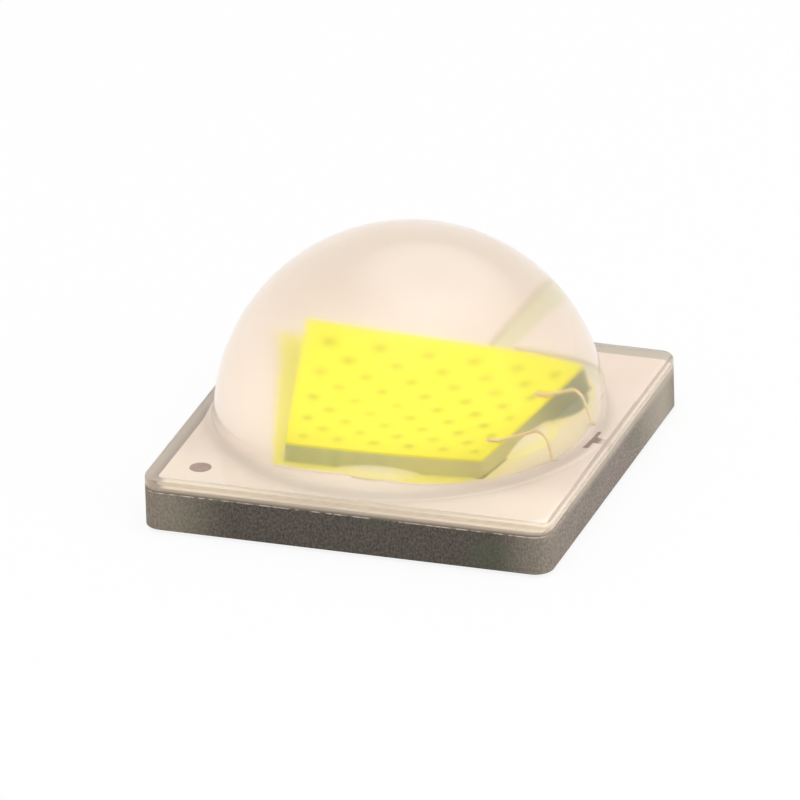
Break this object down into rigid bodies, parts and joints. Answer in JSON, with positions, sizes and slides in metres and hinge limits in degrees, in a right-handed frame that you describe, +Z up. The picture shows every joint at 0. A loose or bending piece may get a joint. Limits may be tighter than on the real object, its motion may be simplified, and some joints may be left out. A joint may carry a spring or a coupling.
{
  "type": "smd led",
  "caption": "Surface-mount power LED: a square ceramic package with gold-wired chip, yellow phosphor and clear silicone dome.",
  "frame": {"origin": "middle of the underside of the solder pads, where they rest on the board", "axes": "+Z up along the light's axis, +X to the anode and wire side, -Y to the front"},
  "size_m": [0.005, 0.005, 0.003],
  "materials": {
    "solder_pads": "thin gold plating over copper, satin",
    "ceramic": "fired aluminium nitride ceramic, fine speckle, matt",
    "copper": "plated copper, buried in the ceramic",
    "top_metal": "pale plated copper under a reflective coat, satin",
    "marks": "dark brown-grey mark, matt",
    "chip_solder": "dull solder with flux stain",
    "chip_carrier": "silicon block, dark olive sides",
    "light_layer": "clear crystal layer, seen through the phosphor",
    "contact_points": "metal posts, seen through the phosphor",
    "gold": "bare gold, bright",
    "phosphor": "yellow phosphor in silicone, matt",
    "overspray": "thin phosphor film over pale metal, matt",
    "reflective_silicone": "white-filled silicone tinted by phosphor, satin",
    "clear_silicone": "clear cast silicone with a very slight haze, smooth"
  },
  "bodies": {
    "root": {"thermal_pad": "solder_pads", "anode_solder_pad": "solder_pads", "cathode_solder_pad": "solder_pads", "ceramic_substrate": "ceramic", "anode_via_1": "copper", "anode_via_2": "copper", "anode_via_3": "copper", "anode_via_4": "copper", "cathode_via_1": "copper", "cathode_via_2": "copper", "cathode_via_3": "copper", "cathode_via_4": "copper", "cathode_strip": "copper", "die_via_1": "copper", "die_via_2": "copper", "die_pad": "top_metal", "wire_pad": "top_metal", "cathode_dot": "marks", "alignment_tee": "marks", "chip_solder": "chip_solder", "chip_carrier": "chip_carrier", "light_layer": "light_layer", "contact_points": "contact_points", "bond_pad_1": "gold", "bond_pad_2": "gold", "phosphor_layer": "phosphor", "phosphor_overspray": "overspray", "front_fillet": "reflective_silicone", "right_fillet": "reflective_silicone", "bond_wire_1": "gold", "bond_wire_2": "gold", "silicone_lens": "clear_silicone"}
  },
  "joints": []
}
